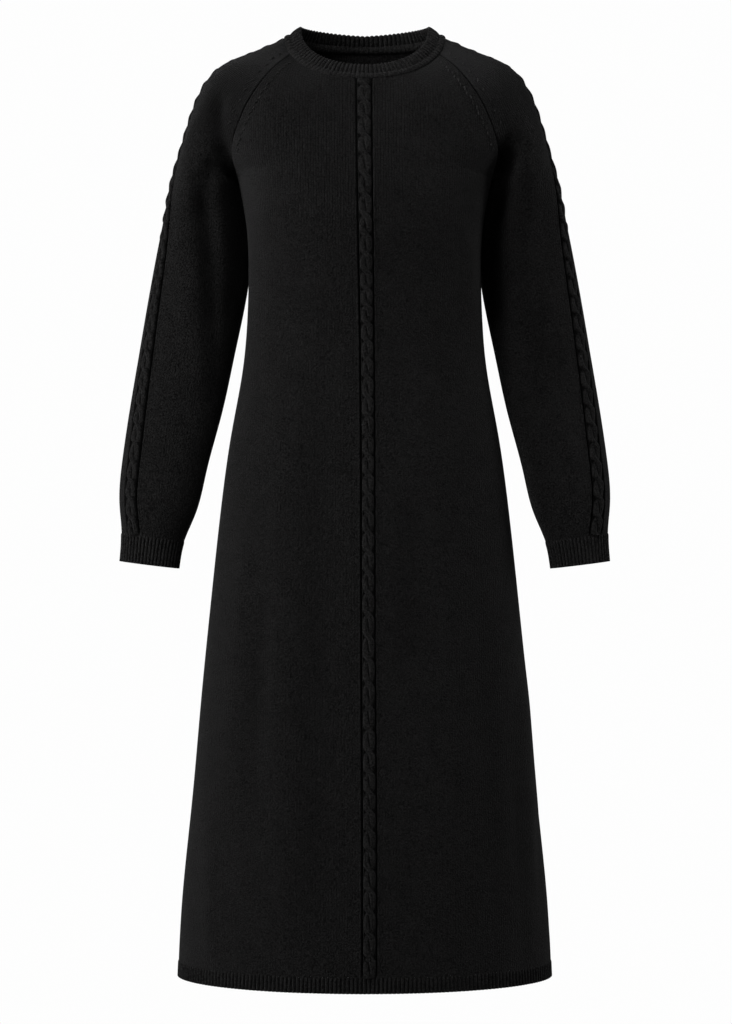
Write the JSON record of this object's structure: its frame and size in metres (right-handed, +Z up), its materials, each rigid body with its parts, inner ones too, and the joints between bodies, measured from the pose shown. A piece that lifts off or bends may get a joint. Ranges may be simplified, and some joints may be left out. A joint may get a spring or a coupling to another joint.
{
  "type": "sweater dress",
  "caption": "Long-sleeved midi sweater dress with raglan seams, a ribbed round neckband and rope cables down the front and sleeves, filled out as worn.",
  "frame": {"origin": "centre of the neck, level with the high shoulder points, where the garment is carried when it is worn", "axes": "+Z up, from hem to neck; -Y towards the front; +X towards the wearer's left sleeve"},
  "size_m": [0.6352, 0.2922, 1.2329],
  "materials": {
    "knit": "matte fine wool knit, slightly fuzzy",
    "rib": "matte ribbed wool knit"
  },
  "bodies": {
    "root": {"front_panel": "knit", "back_panel": "knit", "sleeve_left": "knit", "sleeve_right": "knit", "hem_rib_front": "rib", "hem_rib_back": "rib", "cuff_left": "rib", "cuff_right": "rib", "neckband": "rib"}
  },
  "joints": []
}
